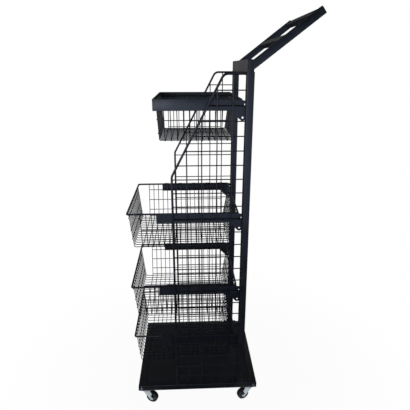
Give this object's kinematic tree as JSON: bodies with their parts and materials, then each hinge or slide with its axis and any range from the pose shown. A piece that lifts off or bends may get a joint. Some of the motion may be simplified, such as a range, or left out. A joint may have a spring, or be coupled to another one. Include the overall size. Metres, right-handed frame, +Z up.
{
  "type": "wire basket rack",
  "caption": "Tall wheeled display rack with wire baskets and a top bin hung between wire side panels, a slotted upright frame and a sloping sign frame.",
  "frame": {"origin": "on the floor, under the middle of the rack's box", "axes": "+Z up, -Y to the side shoppers stand on, +X to the right as seen from there"},
  "size_m": [0.4406, 0.661, 1.537],
  "materials": {
    "frame_coat": "satin black powder coat on steel tube",
    "sheet_coat": "satin black powder coat on steel sheet",
    "wire_coat": "satin black powder coat on steel wire",
    "zinc_plate": "bright zinc plated steel",
    "wheel_rubber": "matt black rubber"
  },
  "bodies": {
    "rack": {"base_frame": "frame_coat", "deck_rail": "frame_coat", "top_rail": "frame_coat", "sign_low_bar": "frame_coat", "sign_mid_bar": "frame_coat", "sign_top_bar": "frame_coat", "upright_left": "frame_coat", "upright_right": "frame_coat", "upright_foot_left": "frame_coat", "upright_foot_right": "frame_coat", "sign_side_left": "frame_coat", "sign_side_right": "frame_coat", "deck_panel": "sheet_coat", "sign_plate": "sheet_coat", "bin_band": "sheet_coat", "bin_bracket_left": "sheet_coat", "bin_bracket_right": "sheet_coat", "basket_upper_bracket_left": "sheet_coat", "basket_upper_bracket_right": "sheet_coat", "basket_middle_bracket_left": "sheet_coat", "basket_middle_bracket_right": "sheet_coat", "basket_lower_bracket_left": "sheet_coat", "basket_lower_bracket_right": "sheet_coat", "side_panel_left": "wire_coat", "side_panel_right": "wire_coat", "bin_mesh": "wire_coat", "bin_side_left": "wire_coat", "bin_side_right": "wire_coat", "basket_upper_rim": "wire_coat", "basket_upper_mesh": "wire_coat", "basket_upper_side_left": "wire_coat", "basket_upper_side_right": "wire_coat", "basket_middle_rim": "wire_coat", "basket_middle_mesh": "wire_coat", "basket_middle_side_left": "wire_coat", "basket_middle_side_right": "wire_coat", "basket_lower_rim": "wire_coat", "basket_lower_mesh": "wire_coat", "basket_lower_side_left": "wire_coat", "basket_lower_side_right": "wire_coat", "base_bolt_front_left": "zinc_plate", "base_bolt_front_right": "zinc_plate", "base_bolt_back_left": "zinc_plate", "base_bolt_back_right": "zinc_plate", "caster_front_left_plate": "zinc_plate", "caster_front_right_plate": "zinc_plate", "caster_back_left_plate": "zinc_plate", "caster_back_right_plate": "zinc_plate"},
    "caster_front_left_swivel": {"caster_front_left_fork": "zinc_plate", "caster_front_left_axle": "zinc_plate"},
    "caster_front_left_roller": {"caster_front_left_wheel": "wheel_rubber"},
    "caster_front_right_swivel": {"caster_front_right_fork": "zinc_plate", "caster_front_right_axle": "zinc_plate"},
    "caster_front_right_roller": {"caster_front_right_wheel": "wheel_rubber"},
    "caster_back_left_swivel": {"caster_back_left_fork": "zinc_plate", "caster_back_left_axle": "zinc_plate"},
    "caster_back_left_roller": {"caster_back_left_wheel": "wheel_rubber"},
    "caster_back_right_swivel": {"caster_back_right_fork": "zinc_plate", "caster_back_right_axle": "zinc_plate"},
    "caster_back_right_roller": {"caster_back_right_wheel": "wheel_rubber"}
  },
  "joints": [
    {"name": "caster_front_left_turn", "type": "hinge", "parent": "rack", "child": "caster_front_left_swivel", "pos_m": [-0.185, -0.293, 0.062], "axis": [0, 0, 1], "continuous": true},
    {"name": "caster_front_left_roll", "type": "hinge", "parent": "caster_front_left_swivel", "child": "caster_front_left_roller", "pos_m": [-0.17679, -0.27044, 0.025], "axis": [0.9397, -0.342, 0], "continuous": true},
    {"name": "caster_front_right_turn", "type": "hinge", "parent": "rack", "child": "caster_front_right_swivel", "pos_m": [0.185, -0.293, 0.062], "axis": [0, 0, 1], "continuous": true},
    {"name": "caster_front_right_roll", "type": "hinge", "parent": "caster_front_right_swivel", "child": "caster_front_right_roller", "pos_m": [0.19321, -0.27044, 0.025], "axis": [0.9397, -0.342, 0], "continuous": true},
    {"name": "caster_back_left_turn", "type": "hinge", "parent": "rack", "child": "caster_back_left_swivel", "pos_m": [-0.185, 0.141, 0.062], "axis": [0, 0, 1], "continuous": true},
    {"name": "caster_back_left_roll", "type": "hinge", "parent": "caster_back_left_swivel", "child": "caster_back_left_roller", "pos_m": [-0.17679, 0.11845, 0.025], "axis": [-0.9397, -0.342, 0], "continuous": true},
    {"name": "caster_back_right_turn", "type": "hinge", "parent": "rack", "child": "caster_back_right_swivel", "pos_m": [0.185, 0.141, 0.062], "axis": [0, 0, 1], "continuous": true},
    {"name": "caster_back_right_roll", "type": "hinge", "parent": "caster_back_right_swivel", "child": "caster_back_right_roller", "pos_m": [0.19321, 0.11845, 0.025], "axis": [-0.9397, -0.342, 0], "continuous": true}
  ]
}
